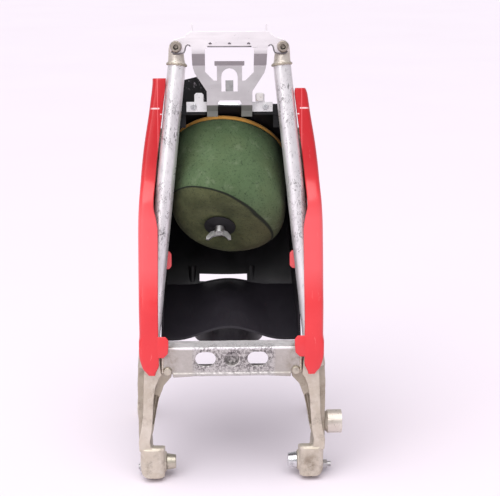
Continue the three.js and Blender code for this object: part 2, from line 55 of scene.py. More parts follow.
SOCKET_WELD_U = 12
CROSS_FRONT_LIP = -17
FILTER_BASE = Vector((-1, 160, 454))
FILTER_AXIS = Vector((-0.1, -0.77, -0.63)).normalized()
FILTER_LENGTH = 139
FILTER_R = 87
FOAM = 12
FOAM_INNER_R = 72
FOAM_START = 12.3
FOAM_SHIFT = 0.1
SEAM_AT = Vector((4.1, 35, 398.8))
SEAM_AXIS = Vector((-0.336, -0.597, -0.728)).normalized()
PANEL_T = 2.2
PANEL_OUTER = [(-30, 117), (-22, 124), (0, 129.5), (87, 130.5), (173, 130), (244, 126), (286, 121.5),
               (350, 111.5), (386, 107.5)]
PANEL_INNER = [(-30, 108), (-15, 102.5), (40, 103), (174, 102), (190, 104), (208, 107.5), (249, 104.5),
               (286, 100.5), (349, 92.5), (386, 88.5)]
PANEL_FRONT = [(-30, -21), (60, -21), (100, -17.5), (208, -17.5), (250, -6), (386, -6)]
PANEL_BACK = [(-30, -16), (0, -17.6), (16, -16.5), (30, 25), (200, 183), (230, 192), (286, 190), (320, 174),
              (355, 148), (386, 112)]
PANEL_TOP = {"left": 386, "right": 372}
PANEL_LOW = -30
PANEL_STATIONS = 104
PANEL_EAR = [(90, 1), (96, -5), (106, -5), (106, 25), (93, 25), (89, 20), (89, 12)]
PANEL_EAR_OFF = (-20.9, -18.3)
PANEL_TONGUE = [(84.5, 121), (88, 117), (128, 117), (128, 143), (88, 143), (84.5, 139)]
PANEL_TONGUE_OFF = (14, 19.5)
NOTCH_UPPER_U = (343.4, 345)
NOTCH_LOWER_U = (335.6, 336.8)
FOLD_U = (404, 418.5)
SHEET_FACE_OFF = -11.7
WINDOW_EDGE_U = 428.7
WINDOW_EDGE_X = (-30.5, -20, -10, 0, 10, 20, 30.5)
DIMPLE_X = (-26.6, 0, 26.6)
DIMPLE_U = 432.6
EAR_CURL = [(54.3, 429.2), (55.4, 430.6), (57.8, 431.3), (59.7, 430), (60.8, 427.5), (61.6, 423.4),
            (63, 420.6), (66, 419.5), (71, 419.1), (77, 419.4), (80.5, 421.8)]
FOOT_TOP_Z = 54
CROSS_HOLE_Z = 189
CROSS_WELD_X = 97.9
CROSS_WELD_BOTTOM_Z = 169
CROSS_WELD_TOP_Z = 206
RIGHT_SCUFFS_U = (362, 335, 235, 205, 175)
LEFT_SCUFFS_U = (340, 308, 225, 195, 165)

# ---- view and light ----
VIEW_AIM = (27, 20, 342)
VIEW_AZIMUTH = -2
VIEW_ELEVATION = 15
VIEW_DISTANCE_M = 1.6
VIEW_LENS = 81.65
VIEW_SENSOR = 36
FLOOR_SIZE_M = 120
SKY_COLOUR = (0.97, 0.95, 1.0, 1)
SKY_STRENGTH = 0.53
SUN_TOWARDS = (0.16, 0.42, -1.0)
SUN_STRENGTH = 2.65
SUN_SOFT_DEG = 70
FILL_AT = (-1.3, -1.9, 1.3)
FILL_AIM = (0, 0, 0.3)
FILL_SIZE = (1.2, 1.6)
FILL_WATTS = 9

cross_low, cross_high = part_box("cross_member")
SHIFT = Vector(((cross_low.x + cross_high.x) / 2, cross_low.y - CROSS_FRONT_LIP * MM, 0))


def place(x, y, z):
    """A point of the CAD source's frame, in metres in the row frame."""
    return Vector((x, y, z)) * MM + SHIFT


def leaned(x, off, u):
    """A point beside the leaning rails: off is how far behind their plane, u how far up it."""
    return place(x, off * math.cos(LEAN) + u * math.sin(LEAN),
                 RAIL_BASE_Z - off * math.sin(LEAN) + u * math.cos(LEAN))


def rail_x(u):
    """How far out a rail's axis is at one height."""
    return RAIL_BASE_X - RAIL_TAPER * u


FILTER_TURN = Vector((0, 0, 1)).rotation_difference(FILTER_AXIS).to_matrix().to_4x4()
FILTER_MATRIX = Matrix.Translation(place(*FILTER_BASE)) @ FILTER_TURN


def curve_at(table, t):
    """A smooth curve through the table's points that never overshoots them."""
    if t <= table[0][0]:
        return table[0][1]
    if t >= table[-1][0]:
        return table[-1][1]
    steps = [(b[1] - a[1]) / (b[0] - a[0]) for a, b in zip(table, table[1:])]
    i = next(k for k in range(len(steps)) if table[k + 1][0] >= t)

    def slope(k):
        if k == 0 or k == len(steps) or steps[k - 1] * steps[k] <= 0:
            return 0.0
        return 2 * steps[k - 1] * steps[k] / (steps[k - 1] + steps[k])

    (t0, v0), (t1, v1) = table[i], table[i + 1]
    h, s = t1 - t0, (t - t0) / (t1 - t0)
    return (v0 * (1 + 2 * s) * (1 - s) ** 2 + h * slope(i) * s * (1 - s) ** 2
            + v1 * s * s * (3 - 2 * s) - h * slope(i + 1) * s * s * (1 - s))


# ---- materials ----
class Look:
    """A procedural material: a Principled shader with helpers that add its textures."""

    def __init__(self, name, metallic=0.0, roughness=0.5, **sockets):
        self.material = bpy.data.materials.new(name)
        self.material.use_nodes = True
        self.tree = self.material.node_tree
        self.shader = self.tree.nodes["Principled BSDF"]
        self.shader.inputs["Metallic"].default_value = metallic
        self.shader.inputs["Roughness"].default_value = roughness
        for socket, value in sockets.items():
            self.shader.inputs[socket.replace("_", " ")].default_value = value
        self.coords = self.tree.nodes.new("ShaderNodeTexCoord").outputs["Object"]
        self.height = None

    def node(self, kind, **inputs):
        """A new node with its named inputs set or linked."""
        made = self.tree.nodes.new(kind)
        for key, value in inputs.items():
            self.feed(made.inputs[key.replace("_", " ")], value)
        return made

    def feed(self, socket, value):
        if isinstance(value, bpy.types.NodeSocket):
            self.tree.links.new(value, socket)
        else:
            socket.default_value = value

    def stretched(self, scale):
        """The object's coordinates, scaled to draw a texture out along an axis."""
        return self.node("ShaderNodeMapping", Vector=self.coords, Scale=scale).outputs["Vector"]

    def noise(self, scale, detail=4.0, rough=0.6, vector=None, distortion=0.0):
        """A noise texture's value, nought to one."""
        made = self.node("ShaderNodeTexNoise", Vector=vector or self.coords, Scale=scale, Detail=detail,
                         Roughness=rough, Distortion=distortion)
        return made.outputs["Fac"]

    def cells(self, scale):
        """The distance to the nearest cell's middle, for pores."""
        return self.node("ShaderNodeTexVoronoi", Vector=self.coords, Scale=scale).outputs["Distance"]

    def span(self, value, low, high, out_low=0.0, out_high=1.0):
        """Stretches low to high over out_low to out_high, and holds the ends."""
        made = self.node("ShaderNodeMapRange", Value=value, From_Min=low, From_Max=high, To_Min=out_low,
                         To_Max=out_high)
        return made.outputs["Result"]

    def maths(self, operation, a, b=0.0):
        """One sum on two values. A product or a total is held between nought and one."""
        made = self.node("ShaderNodeMath")
        made.operation = operation
        made.use_clamp = operation in ("MULTIPLY", "ADD")
        self.feed(made.inputs[0], a)
        self.feed(made.inputs[1], b)
        return made.outputs[0]

    def times(self, a, b):
        return self.maths("MULTIPLY", a, b)

    def mix(self, share, a, b):
        """Colour a, with a share of colour b."""
        made = self.node("ShaderNodeMix")
        made.data_type = "RGBA"
        self.feed(made.inputs[0], share)
        self.feed(made.inputs[6], a if isinstance(a, bpy.types.NodeSocket) else (*a, 1.0))
        self.feed(made.inputs[7], b if isinstance(b, bpy.types.NodeSocket) else (*b, 1.0))
        return made.outputs[2]

    def distance_from(self, centre):
        """How far a point lies from a centre, in metres."""
        made = self.node("ShaderNodeVectorMath")
        made.operation = "DISTANCE"
        self.feed(made.inputs[0], self.coords)
        made.inputs[1].default_value = centre
        return made.outputs["Value"]

    def along(self, axis, origin):
        """How far a point lies along an axis from an origin, in metres."""
        made = self.node("ShaderNodeVectorMath")
        made.operation = "DOT_PRODUCT"
        self.feed(made.inputs[0], self.coords)
        made.inputs[1].default_value = axis
        return self.maths("SUBTRACT", made.outputs["Value"], origin.dot(axis))

    def sideways(self):
        return self.along(Vector((1, 0, 0)), place(0, 0, 0))

    def level(self, z=0):
        """Height above a level of the CAD source's frame, in metres."""
        return self.along(Vector((0, 0, 1)), place(0, 0, z))

    def up_rail(self):
        """How far up the leaning frame a point lies, in metres."""
        return self.along(Vector((0, math.sin(LEAN), math.cos(LEAN))), place(0, 0, RAIL_BASE_Z))

    def band(self, value, low_mm, high_mm, soft_mm=0.6):
        """One between two values in millimetres, nought outside them."""
        rise = self.span(value, (low_mm - soft_mm) * MM, low_mm * MM)
        fall = self.span(value, high_mm * MM, (high_mm + soft_mm) * MM, 1.0, 0.0)
        return self.times(rise, fall)

    def spots(self, centres, radius_mm, soft_mm):
        """One near any of a list of points, falling to nought."""
        total = None
        for centre in centres:
            away = self.distance_from(centre)
            near = self.span(away, radius_mm * MM, (radius_mm + soft_mm) * MM, 1.0, 0.0)
            total = near if total is None else self.maths("MAXIMUM", total, near)
        return total

    def colour(self, value):
        self.feed(self.shader.inputs["Base Color"], value)

    def rough(self, value):
        self.feed(self.shader.inputs["Roughness"], value)

    def bump(self, height, depth_mm, strength=1.0):
        """Adds a relief to the surface, on top of those before it."""
        made = self.node("ShaderNodeBump", Strength=strength, Distance=depth_mm * MM, Height=height)
        if self.height is not None:
            self.tree.links.new(self.height, made.inputs["Normal"])
        self.height = made.outputs["Normal"]
        self.tree.links.new(self.height, self.shader.inputs["Normal"])


def tube_look():
    """Bright drawn tube with fine scratches and patches of black scuffs."""
    look = Look("scuffed_tube", metallic=0.62, roughness=0.36)
    cloud = look.noise(14, 5)
    streak = look.noise(60, 6, 0.7, look.stretched((1.0, 1.0, 0.12)))
    worn_places = [leaned(sign * rail_x(u), -RAIL_R, u)
                   for sign, heights in ((1, RIGHT_SCUFFS_U), (-1, LEFT_SCUFFS_U)) for u in heights]
    patch = look.spots(worn_places, 10, 16)
    scuff = look.span(look.noise(210, 8, 0.8, look.stretched((1.0, 1.0, 0.4)), 1.6), 0.53, 0.60)
    dark = look.times(patch, scuff)
    fine = look.span(look.noise(520, 3, 0.6, look.stretched((1, 1, 0.08))), 0.60, 0.68)
    base = look.mix(look.span(cloud, 0.35, 0.65), (0.70, 0.675, 0.685), (0.88, 0.855, 0.865))
    base = look.mix(look.span(streak, 0.52, 0.72, 0, 0.6), base, (0.50, 0.475, 0.49))
    base = look.mix(look.times(fine, 0.45), base, (0.22, 0.21, 0.21))
    look.colour(look.mix(look.times(dark, 0.85), base, (0.06, 0.055, 0.055)))
    look.rough(look.span(look.noise(90, 6), 0.3, 0.7, 0.24, 0.48))
    look.bump(scuff, 0.10, 0.5)
    look.bump(streak, 0.06, 0.4)
    return look.material


def cast_look():
    """Sandy forged aluminium, with painted shade on the faces set back behind its front faces above the
    foot, and mud on the right foot.
    """
    look = Look("forged_cast", metallic=0.5, roughness=0.44)
    cloud = look.noise(17, 6, 0.65)
    grain = look.noise(420, 5, 0.7)
    grime = look.times(look.span(look.noise(48, 5, 0.6), 0.50, 0.70),
                       look.span(grain, 0.35, 0.6))
    base = look.mix(look.span(cloud, 0.35, 0.65), (0.50, 0.435, 0.345), (0.68, 0.615, 0.53))
    base = look.mix(look.span(look.noise(150, 3), 0.5, 0.8, 0, 0.35), base, (0.80, 0.76, 0.70))
    # painted shade: cast faces set back behind the front faces, above the foot, are darkened as if in
    # shadow
    behind = look.span(look.along(Vector((0, 1, 0)), place(0, -14.5, 0)), 0.0, 0.0045, 0.0, 0.55)
    behind = look.times(behind, look.span(look.level(FOOT_TOP_Z), -0.004, 0.004))
    base = look.mix(behind, base, (0.27, 0.23, 0.17))
    mud = look.times(look.spots([place(112, -16, 30), place(140, -16, 22)], 6, 16),
                     look.span(look.noise(60, 6, 0.7), 0.40, 0.60, 0.2, 1.0))
    base = look.mix(look.times(mud, 0.65), base, (0.20, 0.15, 0.10))
    look.colour(look.mix(look.times(grime, 0.75), base, (0.17, 0.135, 0.095)))
    look.rough(look.span(cloud, 0.3, 0.7, 0.34, 0.54))
    look.bump(grain, 0.10, 0.35)
    look.bump(cloud, 0.8, 0.35)
    return look.material


def cross_look():
    """Painted casting worn to dark speckles round its holes, with a painted highlight along its top edge.
    """
    look = Look("worn_cross_member", metallic=0.5, roughness=0.42)
    grain = look.noise(420, 5, 0.7)
    speckle = look.span(look.noise(260, 6, 0.75), 0.47, 0.53)
    middle = look.band(look.sideways(), -52, 58, 5)
    worn = look.spots([place(x, -15, CROSS_HOLE_Z) for x in (-42, -29, 0, 29, 42, 56)], 13, 17)
    ragged = look.span(look.noise(60, 4), 0.32, 0.55, 0.25, 1.0)
    bare = look.times(look.times(worn, ragged), look.times(speckle, middle))
    base = look.mix(look.span(look.noise(12, 5), 0.35, 0.65), (0.42, 0.385, 0.355), (0.52, 0.485, 0.46))
    base = look.mix(look.times(middle, 0.4), base, (0.60, 0.58, 0.59))
    # painted highlight: the top edge is lightened as if lit from above
    lip = look.span(look.level(), 0.2025, 0.2045, 0.0, 0.95)
    base = look.mix(lip, base, (0.93, 0.90, 0.91))
    ends = look.spots([place(sign * 97, -15, z) for sign in (-1, 1) for z in (172, 190, 204)], 7, 20)
    dirt = look.times(ends, look.span(look.noise(80, 7, 0.75), 0.42, 0.62))
    base = look.mix(look.times(dirt, 0.7), base, (0.22, 0.165, 0.105))
    look.colour(look.mix(look.times(bare, 0.85), base, (0.10, 0.085, 0.09)))
    look.rough(look.span(speckle, 0, 1, 0.36, 0.6))
    look.bump(bare, 0.12, 0.6)
    look.bump(grain, 0.07, 0.3)
    return look.material


def sheet_look():
    """Folded sheet: a painted highlight on the top plate, with painted shade below it, on the folded ramps
    and on the tabs at the bottom.
    """
    look = Look("satin_sheet", metallic=0.6, roughness=0.36)
    brushed = look.noise(260, 6, 0.6, look.stretched((0.12, 1.0, 1.0)))
    cloud = look.noise(25, 4)
    base = look.mix(look.span(cloud, 0.35, 0.65), (0.60, 0.565, 0.58), (0.72, 0.69, 0.70))
    mark = look.span(look.noise(140, 7, 0.8, None, 1.0), 0.62, 0.70, 0, 0.6)
    height = look.up_rail()
    # painted highlight: the top plate is lightened as if overexposed by the light
    top = look.span(height, 0.418, 0.421, 0.0, 0.9)
    base = look.mix(top, base, (0.92, 0.86, 0.89))
    # painted shade: everything below the top plate is darkened
    painted_shade_below_top = look.span(height, 0.4195, 0.4255, 0.5, 0.0)
    base = look.mix(painted_shade_below_top, base, (0.46, 0.43, 0.44))
    # painted shade on the folded ramps, which face away from the light
    painted_fold_shade = look.times(look.band(height, *FOLD_U), 0.8)
    base = look.mix(painted_fold_shade, base, (0.24, 0.22, 0.225))
    tabs = look.along(Vector((0, 0, 1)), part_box("tail_bracket")[0])
    # painted shade: the tabs at the bottom are darkened
    base = look.mix(look.span(tabs, 0.0165, 0.0175, 0.92, 0.0), base, (0.15, 0.155, 0.135))
    look.colour(look.mix(mark, base, (0.26, 0.24, 0.25)))
    look.rough(look.span(brushed, 0.3, 0.7, 0.27, 0.44))
    look.bump(brushed, 0.03, 0.35)
    return look.material


def pale_look(name, dull, bright, mark):
    """Pale metal with stains."""
    look = Look(name, metallic=0.5, roughness=0.3)
    stain = look.span(look.noise(160, 7, 0.8, None, 1.0), 0.56, 0.68, 0, 0.7)
    base = look.mix(look.span(look.noise(30, 4), 0.35, 0.65), dull, bright)
    look.colour(look.mix(stain, base, mark))
    look.rough(look.span(look.noise(200, 5), 0.3, 0.7, 0.25, 0.42))
    return look.material


def steel_look(name, tint, roughness):
    """Bare or plated steel with dirt in patches."""
    look = Look(name, metallic=1.0, roughness=roughness)
    cloud = look.noise(240, 6, 0.7)
    dirt = look.span(look.noise(120, 7, 0.75), 0.5, 0.7, 0, 0.7)
    pale = tuple(min(1.0, c * 1.25) for c in tint)
    dark = tuple(c * 0.35 for c in tint)
    look.colour(look.mix(dirt, look.mix(look.span(cloud, 0.3, 0.7), tint, pale), dark))
    look.rough(look.span(cloud, 0.3, 0.7, roughness - 0.08, roughness + 0.14))
    look.bump(cloud, 0.04, 0.4)
    return look.material


def socket_look(side):
    """A bolt head with a socket in the middle of its face, drawn as painted shade and a bump dent."""
    look = Look(f"{side}_socket_head", metallic=0.9, roughness=0.4)
    low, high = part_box(f"{side}_tail_bolt")
    centre = Vector(((low.x + high.x) / 2, low.y, (low.z + high.z) / 2))
    tone = look.mix(look.span(look.noise(240, 6), 0.3, 0.7), (0.30, 0.26, 0.215), (0.42, 0.37, 0.32))
    # painted shade: a near-black disc stands for the shade inside the socket, and also drives the bump dent
    socket_dent_and_shade = look.span(look.distance_from(centre), 0.0034, 0.0040, 1.0, 0.0)
    look.colour(look.mix(socket_dent_and_shade, tone, (0.03, 0.026, 0.022)))
    look.bump(socket_dent_and_shade, -0.8, 0.8)
    return look.material


def red_look():
    """Red moulding: a painted sheen paler across its middle, darker at the top, with pale notches and a
    painted highlight along a crease near its front.
    """
    look = Look("red_moulding", roughness=0.33, Coat_Weight=0.3, Coat_Roughness=0.2)
    cloud = look.noise(9, 4)
    base = look.mix(look.span(cloud, 0.3, 0.7), (0.66, 0.022, 0.030), (0.76, 0.042, 0.048))
    height = look.up_rail()
    # painted sheen: a paler band across the middle heights, where the light washes the red out
    base = look.mix(look.band(height, 120, 190, 45), base, (0.80, 0.090, 0.100))
    base = look.mix(look.span(height, 0.225, 0.275, 0.0, 0.9), base, (0.50, 0.003, 0.008))
    across = look.maths("ABSOLUTE", look.sideways())
    upper = look.times(look.band(height, *NOTCH_UPPER_U, 0.5), look.span(across, 0.0975, 0.0985))
    lower = look.times(look.band(height, *NOTCH_LOWER_U, 0.5), look.span(across, 0.0965, 0.0975, 1, 0))
    depth = look.along(Vector((0, math.cos(LEAN), -math.sin(LEAN))), leaned(0, -8, 0))
    marks = look.times(look.maths("ADD", upper, lower), look.span(depth, 0.002, 0.006, 0.85, 0.0))
    base = look.mix(marks, base, (0.92, 0.70, 0.70))
    # painted highlight along the crease near the front, above the lowest part of the panel
    crease = look.maths("ABSOLUTE", look.maths("SUBTRACT", across, 0.1005))
    painted_crease_highlight = look.times(look.span(crease, 0.0003, 0.0009, 0.55, 0.0), look.span(height, 0.06, 0.09))
    base = look.mix(painted_crease_highlight, base, (0.88, 0.16, 0.17))
    scratch = look.span(look.noise(200, 7, 0.75, look.stretched((1, 0.4, 0.15)), 0.6), 0.62, 0.68, 0, 0.4)
    look.colour(look.mix(scratch, base, (0.86, 0.25, 0.25)))
    look.rough(look.span(look.noise(60, 6, 0.7), 0.3, 0.7, 0.26, 0.44))
    look.bump(look.noise(900, 2), 0.03, 0.3)
    look.bump(scratch, 0.03, 0.3)
    return look.material


def black_look(name, roughness, scuffed, worn=(0.11, 0.10, 0.115)):
    """Black plastic or rubber with scratches and dust, and painted light making it a little paler low down.
    """
    look = Look(name, roughness=roughness, Specular_IOR_Level=0.35)
    cloud = look.noise(30, 6, 0.7)
    base = look.mix(look.span(cloud, 0.35, 0.7), (0.003, 0.003, 0.0035), (0.010, 0.009, 0.011))
    # painted light: parts low down, such as the airbox floor, are lightened as if lit
    low = look.span(look.level(), 0.246, 0.262, 0.9, 0.0)
    base = look.mix(low, base, (0.022, 0.019, 0.025))
    lines = look.noise(90, 9, 0.8, look.stretched((0.6, 1, 0.5)), 1.4)
    scratch = look.span(lines, 0.66 - 0.09 * scuffed, 0.66, 0, scuffed)
    dust = look.span(look.noise(420, 6, 0.8), 0.60, 0.75, 0, scuffed * 0.6)
    look.colour(look.mix(dust, look.mix(scratch, base, worn), (0.14, 0.125, 0.14)))
    look.rough(look.span(cloud, 0.3, 0.7, roughness - 0.1, roughness + 0.16))
    look.bump(look.noise(700, 3), 0.05, 0.4)
    return look.material


def foam_look():
    """Oiled green foam, olive beyond the dark seam round its closed end."""
    look = Look("green_foam", roughness=0.92, Specular_IOR_Level=0.2, Sheen_Weight=0.04,
                Sheen_Roughness=0.6)
    pores = look.cells(720)
    big_pores = look.cells(230)
    cloud = look.noise(20, 5, 0.6)
    green = look.mix(look.span(cloud, 0.33, 0.67), (0.065, 0.107, 0.047), (0.094, 0.144, 0.069))
    olive = look.mix(look.span(look.noise(34, 6), 0.35, 0.65), (0.044, 0.050, 0.020), (0.088, 0.096, 0.042))
    depth = look.along(SEAM_AXIS, place(*SEAM_AT))
    end = look.span(depth, -0.0004, 0.0006)
    side = look.maths("SUBTRACT", 1.0, end)
    skin = look.mix(end, green, olive)
    shade = look.spots([place(70, 70, 372), place(60, 95, 330)], 18, 45)
    skin = look.mix(look.times(shade, 0.6), skin, (0.085, 0.070, 0.035))
    oil = look.span(look.noise(13, 4, 0.5), 0.50, 0.72, 0, 0.4)
    skin = look.mix(look.times(oil, side), skin, (0.095, 0.110, 0.045))
    pale = look.span(look.noise(60, 5, 0.65), 0.55, 0.72, 0, 0.5)
    skin = look.mix(look.times(pale, side), skin, (0.170, 0.215, 0.130))
    speck = look.span(look.noise(300, 6, 0.8), 0.55, 0.62, 0, 0.7)
    skin = look.mix(speck, skin, (0.012, 0.020, 0.012))
    off_seam = look.maths("ABSOLUTE", look.maths("SUBTRACT", depth, -0.0002))
    seam = look.span(off_seam, 0.0006, 0.0016, 1.0, 0.0)
    skin = look.mix(look.times(seam, 0.95), skin, (0.008, 0.010, 0.006))
    look.colour(look.mix(look.span(pores, 0.0, 0.35, 0.45, 0.0), skin, (0.012, 0.02, 0.012)))
    look.bump(pores, 0.35, 0.8)
    look.bump(big_pores, 0.25, 0.35)
    look.bump(look.noise(55, 5), 1.2, 0.3)
    return look.material


def rim_look():
    """Orange sealing foam with dark spots."""
    look = Look("orange_foam_rim", roughness=0.85, Sheen_Weight=0.2)
    pores = look.cells(800)
    base = look.mix(look.span(look.noise(40, 5), 0.3, 0.7), (0.55, 0.245, 0.035), (0.76, 0.400, 0.080))
    look.colour(look.mix(look.span(look.noise(160, 6), 0.58, 0.72, 0, 0.6), base, (0.14, 0.06, 0.02)))
    look.bump(pores, 0.3, 0.7)
    return look.material


def floor_look():
    """The pale studio floor."""
    look = Look("pale_floor", roughness=0.62)
    tone = look.mix(look.span(look.noise(0.8, 3), 0.3, 0.7), (0.815, 0.745, 0.81), (0.83, 0.765, 0.83))
    look.colour(tone)
    look.bump(look.noise(120, 3), 0.1, 0.1)
    return look.material


LOOKS = {
    "tube": tube_look(), "cast": cast_look(), "cross": cross_look(), "sheet": sheet_look(),
    "clip": pale_look("pale_clip", (0.74, 0.72, 0.72), (0.86, 0.85, 0.86), (0.36, 0.33, 0.32)),
    "edge": steel_look("shaded_edge", (0.20, 0.185, 0.195), 0.5),
    "pale": pale_look("pale_boss", (0.56, 0.50, 0.44), (0.70, 0.64, 0.57), (0.34, 0.28, 0.22)),
    "stained": pale_look("stained_tab", (0.72, 0.69, 0.66), (0.84, 0.81, 0.79), (0.42, 0.24, 0.12)),
    "left_socket": socket_look("left"), "right_socket": socket_look("right"),
    "steel": steel_look("zinc_steel", (0.44, 0.43, 0.43), 0.36),
    "bright": steel_look("bright_steel", (0.62, 0.62, 0.63), 0.26),
    "dark_steel": steel_look("dark_steel", (0.12, 0.115, 0.11), 0.45),
    "cast_steel": steel_look("sandy_steel", (0.50, 0.46, 0.38), 0.42),
    "red": red_look(),
    "black": black_look("airbox_plastic", 0.42, 0.3),
    "flap": black_look("scratched_flap", 0.4, 0.9, worn=(0.34, 0.31, 0.34)),
    "rubber": black_look("dull_rubber", 0.62, 0.18),
    "foam": foam_look(), "rim": rim_look(), "floor": floor_look(),
}


# ---- mesh helpers ----
def shade(mesh, sharp_deg):
    """Smooth shading, with edges over an angle left sharp."""
    for face in mesh.polygons:
        face.use_smooth = True
    mesh.set_sharp_from_angle(angle=math.radians(sharp_deg))


def piece(name, mesh, look, body="frame", replaces=(), sharp_deg=38):
    """Puts a mesh in the scene with its look, riding on a body and standing for CAD nodes."""
    if not mesh.has_custom_normals:
        shade(mesh, sharp_deg)
    mesh.materials.clear()
    mesh.materials.append(LOOKS[look])
    made = bpy.data.objects.new(name, mesh)
    bpy.context.scene.collection.objects.link(made)
    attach(made, body)
    if replaces:
        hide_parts(*replaces)
    return made


def mesh_from(bm, name):
    mesh = bpy.data.meshes.new(name)
    bmesh.ops.recalc_face_normals(bm, faces=bm.faces)
    bm.to_mesh(mesh)
    bm.free()
    return mesh


def modified(mesh, *modifiers):
    """The mesh after a chain of (type, settings) modifiers."""
    holder = bpy.data.objects.new("holder", mesh)
    bpy.context.scene.collection.objects.link(holder)
    for kind, settings in modifiers:
        modifier = holder.modifiers.new(kind, kind)
        for key, value in settings.items():
            setattr(modifier, key, value)
    evaluated = holder.evaluated_get(bpy.context.evaluated_depsgraph_get())
    result = bpy.data.meshes.new_from_object(evaluated)
    bpy.data.objects.remove(holder)
    return result


def bevel(width_mm, segments=2, angle=28):
    return ("BEVEL", {"width": width_mm * MM, "segments": segments, "limit_method": "ANGLE",
                      "angle_limit": math.radians(angle), "use_clamp_overlap": True})


def cad_copy(node):
    """A clean copy of a CAD node's mesh, with its flat facets merged."""
    bm = bmesh.new()
    bm.from_mesh(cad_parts[node].data)
    bmesh.ops.remove_doubles(bm, verts=bm.verts, dist=0.00002)
    bmesh.ops.dissolve_limit(bm, angle_limit=math.radians(0.6), verts=bm.verts, edges=bm.edges)
    return mesh_from(bm, node)


def bridge(bm, loops):
    """Joins each loop of corners to the next with a band of faces."""
    for a, b in zip(loops, loops[1:]):
        for k in range(len(a)):
            n = (k + 1) % len(a)
            bm.faces.new((a[k], a[n], b[n], b[k]))


def edged(node, look, width_mm, body="frame", segments=2, sharp_deg=38):
    """A node in its CAD shape, with real rounded edges."""
    mesh = modified(cad_copy(node), bevel(width_mm, segments))
    shade(mesh, sharp_deg)
    mesh = modified(mesh, ("WEIGHTED_NORMAL", {"keep_sharp": True}))
    return piece(f"{node}_finished", mesh, look, body, (node,), sharp_deg)


def roughened(mesh, scale, amount_mm):
    """Pushes the surface in and out a little along its normals."""
    moves = [v.normal * (noise.fractal(v.co * scale, 0.7, 2.0, 3) * amount_mm * MM) for v in mesh.vertices]
    for vertex, move in zip(mesh.vertices, moves):
        vertex.co += move


def forged(node, look, voxel_mm, rounds):
    """A casting: the CAD shape with its edges rounded off and a slightly uneven skin."""
    mesh = modified(cad_copy(node), ("REMESH", {"mode": "VOXEL", "voxel_size": voxel_mm * MM}),
                    ("SMOOTH", {"factor": 0.5, "iterations": rounds}))
    roughened(mesh, 90, 0.25)
    return piece(f"{node}_finished", mesh, look, replaces=(node,), sharp_deg=180)


def lathe_mesh(name, profile, sides, matrix, wobble=None):
    """Turns a closed profile of (radius, height) in millimetres about the matrix's own Z."""
    bm = bmesh.new()
    rings = []
    for radius, height in profile:
        ring = []
        for k in range(sides):
            angle = 2 * math.pi * k / sides
            r, h = (radius, height) if wobble is None else wobble(radius, height, angle)
            ring.append(bm.verts.new(matrix @ (Vector((r * math.cos(angle), r * math.sin(angle), h)) * MM)))
        rings.append(ring)
    bridge(bm, rings + rings[:1])
    return mesh_from(bm, name)


def swept(name, path, radius_at, sides=12):
    """A closed tube along a list of points in metres."""
    bm = bmesh.new()
    rings = []
    for i, point in enumerate(path):
        run = (path[min(i + 1, len(path) - 1)] - path[max(i - 1, 0)]).normalized()
        side = run.orthogonal().normalized() if i == 0 else (side - run * side.dot(run)).normalized()
        other = run.cross(side)
        r = radius_at(i) * MM
        rings.append([bm.verts.new(point + (side * math.cos(a) + other * math.sin(a)) * r)
                      for a in (2 * math.pi * k / sides for k in range(sides))])
    bridge(bm, rings)
    bm.faces.new(rings[0])
    bm.faces.new(rings[-1])
    return mesh_from(bm, name)


def weld(name, path, radius):
    """A rippled bead of weld along a path."""
    def ripple(i):
        return radius * (0.86 + 0.2 * math.sin(i * 1.55) + 0.08 * math.sin(i * 0.7))

    return piece(name, swept(name, path, ripple, 10), "cast", sharp_deg=180)


def ring_path(centre, axis, radius_mm, end_deg=330, steps=54):
    """Points round most of a circle about an axis of unit length."""
    side = axis.orthogonal().normalized()
    other = axis.cross(side)
    angles = [math.radians(end_deg * k / steps) for k in range(steps + 1)]
    return [centre + (side * math.cos(a) + other * math.sin(a)) * radius_mm * MM for a in angles]


def prism(name, outline, depth, to_place):
    """A flat outline in millimetres, given a depth, and placed by a function of (a, b, c)."""
    bm = bmesh.new()
    low, high = depth
    near = [bm.verts.new(to_place(a, low, b)) for a, b in outline]
    far = [bm.verts.new(to_place(a, high, b)) for a, b in outline]
    bm.faces.new(near)
    bm.faces.new(far)
    for k in range(len(outline)):
        n = (k + 1) % len(outline)
        bm.faces.new((near[k], near[n], far[n], far[k]))
    return mesh_from(bm, name)


# ---- rails ----
def upper_rail(side):
    """One rail as a dented tube, with a weld bead at each end."""
    sign = -1 if side == "left" else 1
    rings, sides = 90, 48
    bottom = leaned(sign * rail_x(RAIL_START), 0, RAIL_START)
    top = leaned(sign * rail_x(RAIL_END), 0, RAIL_END)
    run = (top - bottom).normalized()
    across = run.orthogonal().normalized()
    other = run.cross(across)
    bm = bmesh.new()

    def ring(t, radius):
        made = []
        for k in range(sides):
            a = 2 * math.pi * k / sides
            out = across * math.cos(a) + other * math.sin(a)
            point = bottom.lerp(top, t) + out * radius * MM
            dent = noise.noise(point * 60 + Vector((sign, 0, 0))) * 0.18
            made.append(bm.verts.new(point + out * dent * MM))
        return made

    outer = [ring(t / rings, RAIL_R - (0.4 if t in (0, rings) else 0.15)) for t in range(rings + 1)]
    inner = [ring(t, RAIL_R - RAIL_WALL) for t in (1, 0)]
    bridge(bm, outer + inner + [outer[0]])
    node = f"{side}_upper_rail"
    piece(f"{node}_finished", mesh_from(bm, node), "tube", replaces=(node,))
    for name, u, spread, bead in (("tail", RAIL_END + 1, 0.3, 1.9), ("socket", SOCKET_WELD_U, 1.0, 2.2)):
        path = ring_path(leaned(sign * rail_x(u), 0, u), run, RAIL_R + spread)
        weld(f"{side}_{name}_weld", path, bead)


